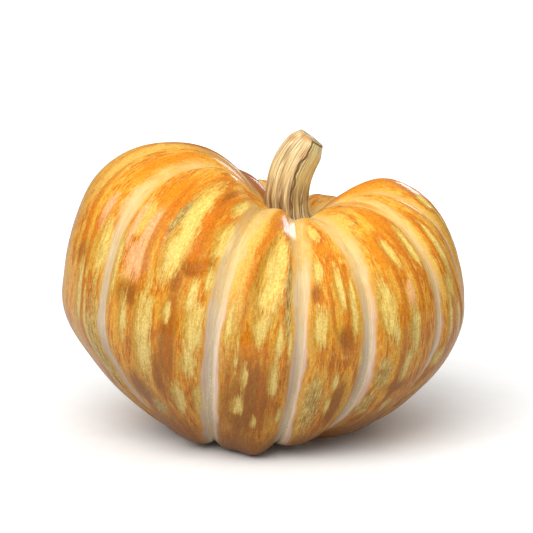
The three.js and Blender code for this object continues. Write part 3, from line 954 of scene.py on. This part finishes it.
def turn_from(turn, other):
    """Signed angle the short way round."""
    return np.mod(turn - other + math.pi, 2 * math.pi) - math.pi


def flutes(turn, share):
    """Long narrow furrows that start and stop: depth in millimetres, 0 or less."""
    dice = np.random.default_rng(11)
    depth = np.zeros(turn.shape)
    for _ in range(FLUTES):
        at = dice.uniform(0, 2 * math.pi)
        wander = dice.uniform(-0.08, 0.08)
        start = dice.uniform(-0.3, 0.6)
        end = start + dice.uniform(0.2, 0.7)
        width = dice.uniform(0.018, 0.04)
        deep = dice.uniform(0.1, DEEPEST_FLUTE)
        away = turn_from(turn, at + wander * np.sin(3 * share + at))
        length = smoothstep(start, start + 0.12, share) * (1 - smoothstep(end - 0.15, end, share))
        depth -= deep * length * np.exp(-((away / width) ** 2))
    return depth


def edge_line(turn, share):
    """1 in the wandering crease beside the sharp edge, which fades out in the lower half; the
    stem's paint darkens it with painted shade.
    """
    crease = math.radians(STEM_RIDGES[0][0] + EDGE_FROM_RIDGE)
    crease = crease + 0.05 * np.sin(17 * share) + 0.03 * np.sin(41 * share + 1)
    length = smoothstep(0.3, 0.45, share)
    return length * np.exp(-((turn_from(turn, crease) / 0.07) ** 2))


def stem_reach(radius, turn, share):
    """Radius of the ridged and furrowed stem, and the depth of its furrows."""
    ridges = sum(
        height * np.exp(-((turn_from(turn, math.radians(at)) / math.radians(half_width)) ** 2))
        for at, half_width, height in STEM_RIDGES
    )
    flare = 1 - smoothstep(0.0, 0.16, share)
    roots = STEM_ROOT_HEIGHT * np.cos(STEM_ROOTS * turn) * (1 - smoothstep(0.1, 0.45, share))
    furrow = flutes(turn, share)
    reach = radius * (0.96 + ridges + roots + 0.06 * flare)
    return reach + furrow - EDGE_DEPTH * edge_line(turn, share), furrow


def stem_rings(turns, turn, share):
    """Rings of the cut end, the side and the spigot, from the top down, and the furrows' depth."""
    line = through(STEM_LINE, share[:, 0])
    tangent = np.gradient(line[:, :3], axis=0)
    tangent = -tangent / np.linalg.norm(tangent, axis=-1, keepdims=True)
    tangent[-1] = (0, 0, 1)
    front = np.array([0.0, -1.0, 0.0])
    right = np.cross(tangent, front)
    right /= np.linalg.norm(right, axis=-1, keepdims=True)
    reach, furrow = stem_reach(line[:, 3:4], turn, share)
    offset_front = (reach * np.cos(turn))[..., None] * front
    offset_right = (reach * np.sin(turn))[..., None] * right[:, None, :]
    side = line[:, None, :3] + (offset_front + offset_right)

    # The cut end: a rounded rim and a shallow, fibrous dish.
    outline = side[0] - line[0, :3]
    rise = CUT_ROUNDING * (1 - np.exp(-((1 - CUT_RINGS) / 0.06))) - CUT_DISH * (1 - CUT_RINGS) ** 2
    cut = line[0, :3] + outline[None] * CUT_RINGS[:, None, None] + tangent[0] * rise[:, None, None]

    # The underside steps in to the spigot, which goes down into the socket.
    seat = line[-1, 2]
    spigot = [
        ring(np.degrees(turns), SPIGOT_RADIUS, seat, PIT[:2]),
        ring(np.degrees(turns), SPIGOT_RADIUS, seat - SPIGOT_LENGTH, PIT[:2]),
    ]
    return np.concatenate([cut, side, spigot]), furrow


def add_stem_values(stem, turn, share, furrow):
    """What the stem's paint reads at each point, from 0 to 1."""

    def add(name, side, on_cut=0.0):
        top = np.full(len(CUT_RINGS) * STEM_COLUMNS, on_cut)
        below = np.zeros(len(stem.data.vertices) - top.size - side.size - 2)
        add_values(stem, name, np.concatenate([top, side.ravel(), below, [on_cut, 0.0]]))

    from_edge = turn_from(turn, math.radians(STEM_RIDGES[0][0]))
    # The right face is the shaded one, and its olive tint is painted shade.
    shaded_right_face = smoothstep(0, 0.12, from_edge) * (1 - smoothstep(1.5, 2.2, from_edge))
    between_roots = 0.5 - 0.5 * np.cos(STEM_ROOTS * turn)
    add("crack", np.clip(-furrow / DEEPEST_FLUTE, 0, 1))
    add("face", shaded_right_face)
    # The crease beside the sharp edge is darkened with painted shade.
    add("crease_shade", edge_line(turn, share))
    # By the roots: more glaze, brown with painted shade between the roots, and painted highlights
    # on the right face.
    add("root", (1 - smoothstep(0.25, 0.6, share)) * (0.4 + 0.6 * between_roots))
    add("tip", smoothstep(0.7, 0.92, share))
    add("cut", smoothstep(0.975, 1.0, share) * 0.4, 1.0)


def add_stem_map(stem, rings, turns):
    """A map in millimetres, round and down the stem; the fans over its ends need no place."""
    arc = STEM_MAP_RADIUS * np.append(turns, 2 * math.pi)
    lengths = np.linalg.norm(np.diff(rings.mean(1), axis=0), axis=-1)
    down = np.concatenate([[0], np.cumsum(lengths)])
    u = np.stack([arc[:-1], arc[:-1], arc[1:], arc[1:]], -1)[None].repeat(len(rings) - 1, 0)
    v = np.stack([down[:-1], down[1:], down[1:], down[:-1]], -1)[:, None].repeat(STEM_COLUMNS, 1)
    fans = np.zeros(len(stem.data.loops) - u.size)
    add_map(stem, "strokes", np.concatenate([u.ravel(), fans]), np.concatenate([v.ravel(), fans]))


def make_stem():
    turns = 2 * math.pi * np.arange(STEM_COLUMNS) / STEM_COLUMNS
    turn, share = np.meshgrid(turns, np.linspace(1, 0, STEM_ROWS))
    rings, furrow = stem_rings(turns, turn, share)
    points, faces = loft(rings)
    stem = new_piece("carved_stem", points, faces, "stem")
    add_stem_values(stem, turn, share, furrow)
    add_stem_map(stem, rings, turns)
    stem.data.materials.append(stem_paint())


# ---- Felt pads and bond ---------------------------------------------------------------------


# Rings of a pad from its top down: share of the radius, share of the thickness.
PAD_RINGS = [(0.5, 1), (0.92, 1), (0.985, 0.85), (1, 0.5), (0.985, 0.15), (0.92, 0), (0.5, 0)]
PAD_EDGE = 0.95  # rings beyond this share of the radius are fuzzy
PAD_COLUMNS = 96
PAD_CLEARANCE = 0.1
FUZZ = 0.12


def make_pad(node):
    """A felt disc with a rounded, slightly fuzzy edge, in the space of one CAD pad."""
    low, high = (np.array(corner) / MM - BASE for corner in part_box(node))
    centre = (low + high) / 2
    radius = (high[0] - low[0]) / 2 - PAD_CLEARANCE
    thickness = high[2] - low[2]
    azimuth = np.linspace(0, 360, PAD_COLUMNS, endpoint=False)
    dice = np.random.default_rng(len(node) + ord(node[-1]))
    fuzz = FUZZ * dice.normal(size=PAD_COLUMNS)
    rings = []
    for share, up in PAD_RINGS:
        reach = radius * share + fuzz * (share > PAD_EDGE)
        rings.append(ring(azimuth, reach, low[2] + thickness * up, centre[:2]))
    points, faces = loft(np.array(rings))
    return new_piece(node.replace("foot", "felt"), points, faces, node)


def make_pads():
    material = felt()
    for node in PADS:
        make_pad(node).data.materials.append(material)


def finish_bond():
    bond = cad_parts["stem_bond_ring"]
    bond.data.materials.clear()
    bond.data.materials.append(adhesive())


# ---- Studio ---------------------------------------------------------------------------------

CAMERA_ELEVATION = math.radians(12)
CAMERA_DISTANCE = 1.1
AIM_HEIGHT = 0.075
AIM = Vector(BASE * MM) + Vector((0, 0, AIM_HEIGHT))
SENSOR_WIDTH = 36  # millimetres
VIEW_WIDTH = 0.3058  # metres across the picture at the aim point
VIEW_SHIFT = (-0.0103, 0.0544)  # puts the aim point right of and below the picture's middle
FLOOR_REACH = 12
ROOM_LIGHT = (0.22, 1.02)  # at the horizon and overhead
ROOM_REFLECTION = 0.15
# Softboxes: name, place, size in metres, power in watts, colour, whether the glaze mirrors them.
SOFTBOXES = [
    ("key", (-0.55, -1.1, 1.3), 1.8, 28, (1, 1, 1), False),
    ("rim", (0.5, 1.25, 0.55), 0.24, 1.0, (0.88, 0.87, 1.0), True),
]


def make_floor():
    reach = FLOOR_REACH
    corners = [(-reach, -reach, 0), (reach, -reach, 0), (reach, reach, 0), (-reach, reach, 0)]
    mesh = bpy.data.meshes.new("floor")
    mesh.from_pydata(corners, [], [(0, 1, 2, 3)])
    floor = bpy.data.objects.new("floor", mesh)
    bpy.context.scene.collection.objects.link(floor)
    floor.data.materials.append(floor_paper())


def make_world():
    """A white room, lighter overhead: plain white to the camera and dim in mirrored rays."""
    world = bpy.data.worlds.new("studio")
    bpy.context.scene.world = world
    world.use_nodes = True
    tree = world.node_tree

    def node(kind, **inputs):
        made = tree.nodes.new("ShaderNode" + kind)
        for name, value in inputs.items():
            socket = made.inputs[name.replace("_", " ")]
            if isinstance(value, bpy.types.NodeSocket):
                tree.links.new(value, socket)
            else:
                socket.default_value = value
        return made

    ray = node("LightPath").outputs
    direction = node("TexCoord").outputs["Generated"]
    upward = node("SeparateXYZ", Vector=direction).outputs["Z"]
    low, high = ROOM_LIGHT
    light = node("MapRange", Value=upward, From_Min=0, From_Max=0.9, To_Min=low, To_Max=high)
    seen = node("Mix", Factor=ray["Is Glossy Ray"], A=light.outputs[0], B=ROOM_REFLECTION)
    seen = node("Mix", Factor=ray["Is Camera Ray"], A=seen.outputs[0], B=1.0)
    tree.links.new(seen.outputs[0], tree.nodes["Background"].inputs["Strength"])
    tree.nodes["Background"].inputs["Color"].default_value = (1, 1, 1, 1)


def make_softbox(name, place, size, power, colour, mirrored):
    """A square area light that faces the figure."""
    light = bpy.data.lights.new(name, "AREA")
    light.size = size
    light.energy = power
    light.color = colour
    lamp = bpy.data.objects.new(name, light)
    bpy.context.scene.collection.objects.link(lamp)
    lamp.location = place
    lamp.rotation_euler = (AIM - lamp.location).to_track_quat("-Z", "Y").to_euler()
    lamp.visible_glossy = mirrored


def make_camera():
    camera = bpy.data.cameras.new("camera")
    camera.sensor_width = SENSOR_WIDTH
    camera.lens = SENSOR_WIDTH * CAMERA_DISTANCE / VIEW_WIDTH
    camera.shift_x, camera.shift_y = VIEW_SHIFT
    view = bpy.data.objects.new("camera", camera)
    bpy.context.scene.collection.objects.link(view)
    back = Vector((0, -math.cos(CAMERA_ELEVATION), math.sin(CAMERA_ELEVATION)))
    view.location = AIM + back * CAMERA_DISTANCE
    view.rotation_euler = (AIM - view.location).to_track_quat("-Z", "Y").to_euler()
    bpy.context.scene.camera = view


make_body()
make_stem()
make_pads()
finish_bond()
make_floor()
make_world()
for softbox in SOFTBOXES:
    make_softbox(*softbox)
make_camera()
bpy.context.scene.view_settings.view_transform = "Standard"
